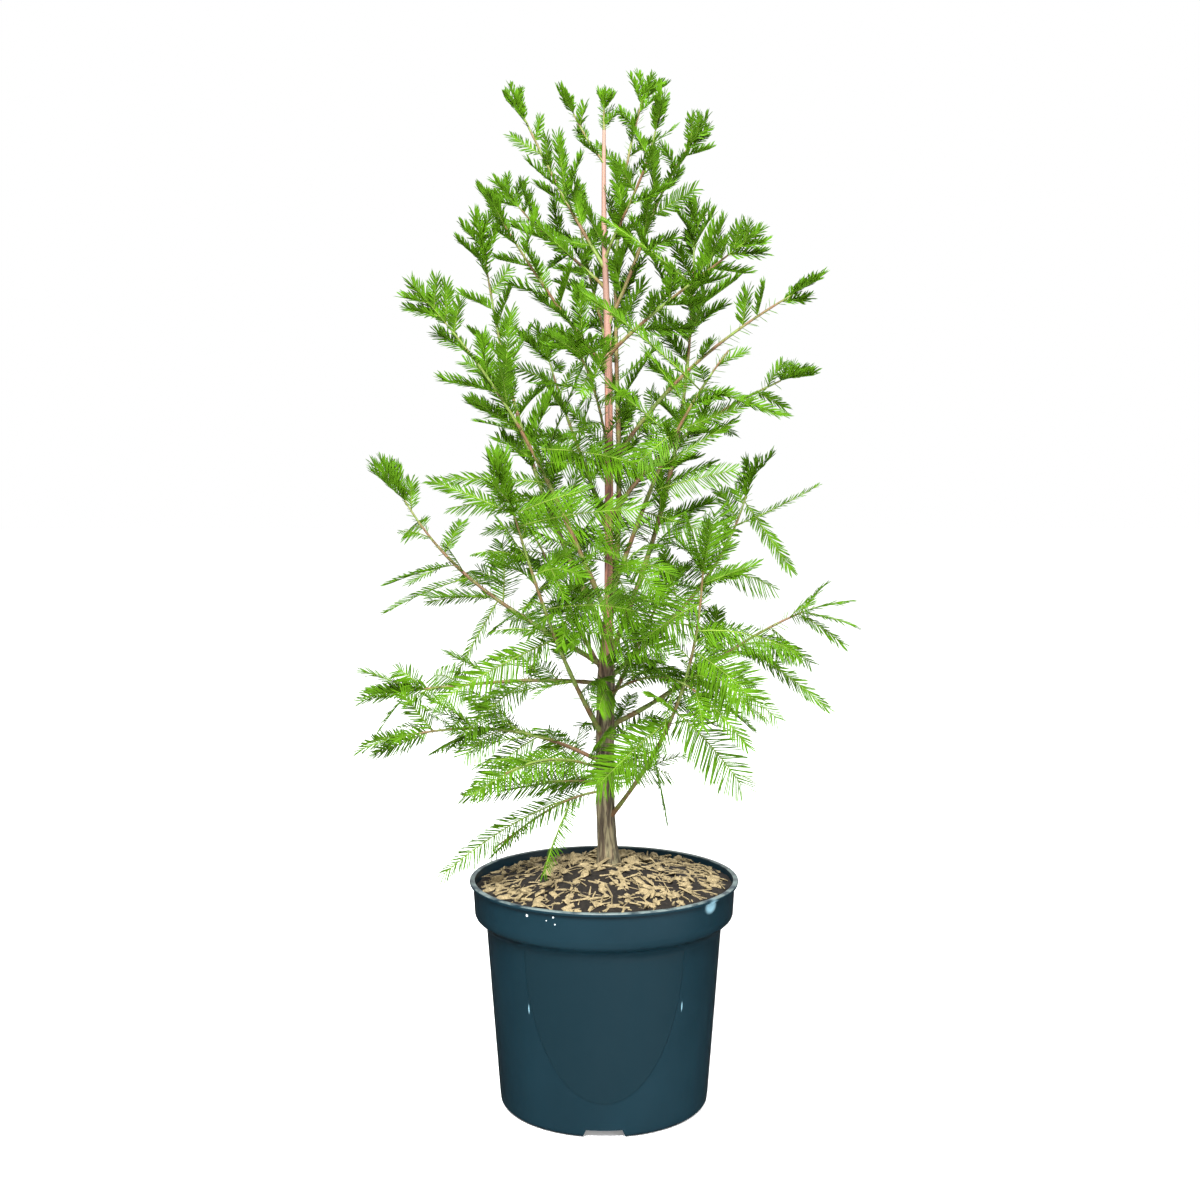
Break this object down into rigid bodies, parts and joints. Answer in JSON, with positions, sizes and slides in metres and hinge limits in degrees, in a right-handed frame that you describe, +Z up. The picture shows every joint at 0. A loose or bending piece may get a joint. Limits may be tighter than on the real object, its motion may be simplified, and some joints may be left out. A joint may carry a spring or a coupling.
{
  "type": "potted bald cypress tree",
  "caption": "Young bald cypress with a straight trunk, upswept limbs and airy feathery sprays, in a round nursery pot topped with wood chip mulch.",
  "frame": {"origin": "centre of the pot's flat underside", "axes": "+Z up along the trunk from the pot, -Y towards the front of the pot"},
  "size_m": [0.517, 0.3948, 1.0627],
  "materials": {
    "pot": "semi-gloss moulded plastic, dark blue-green",
    "soil": "matt pale wood chips over dark compost",
    "trunk": "matt furrowed fibrous bark",
    "boughs": "satin reddish-brown young bark",
    "foliage": "soft satin needles"
  },
  "bodies": {
    "root": {"pot": "pot", "soil": "soil", "trunk": "trunk", "bough_low_right": "boughs", "bough_left_low": "boughs", "bough_left_front": "boughs", "bough_right_mid": "boughs", "bough_back_mid_right": "boughs", "bough_left_mid": "boughs", "bough_right_mid_up": "boughs", "bough_back_mid_left": "boughs", "bough_left_long": "boughs", "bough_right_leader": "boughs", "bough_second_leader": "boughs", "bough_left_leader": "boughs", "bough_left_front_leader": "boughs", "bough_right_front_leader": "boughs", "bough_back_upper": "boughs", "bough_right_upper_low": "boughs", "bough_right_upper": "boughs", "bough_upper_left": "boughs", "bough_upper_right_low": "boughs", "bough_back_high": "boughs", "bough_upper_right": "boughs", "bough_upper_left_back": "boughs", "bough_top_left": "boughs", "foliage_low_left_droop": "foliage", "foliage_low_left_flat": "foliage", "foliage_low_right": "foliage", "foliage_low_back": "foliage", "foliage_left_low": "foliage", "foliage_left_low_front": "foliage", "foliage_left_front": "foliage", "foliage_right_mid": "foliage", "foliage_right_arch": "foliage", "foliage_back_mid_right": "foliage", "foliage_left_mid": "foliage", "foliage_right_mid_up": "foliage", "foliage_back_mid_left": "foliage", "foliage_left_long": "foliage", "foliage_right_leader": "foliage", "foliage_second_leader": "foliage", "foliage_left_leader": "foliage", "foliage_left_front_leader": "foliage", "foliage_front_mid": "foliage", "foliage_right_front_leader": "foliage", "foliage_back_upper": "foliage", "foliage_right_upper_low": "foliage", "foliage_right_upper": "foliage", "foliage_front_upper": "foliage", "foliage_upper_left": "foliage", "foliage_upper_right_low": "foliage", "foliage_back_high": "foliage", "foliage_upper_right": "foliage", "foliage_upper_left_back": "foliage", "foliage_top_left": "foliage", "foliage_top_right": "foliage", "foliage_top_small_left": "foliage", "foliage_leader_tip": "foliage"}
  },
  "joints": []
}
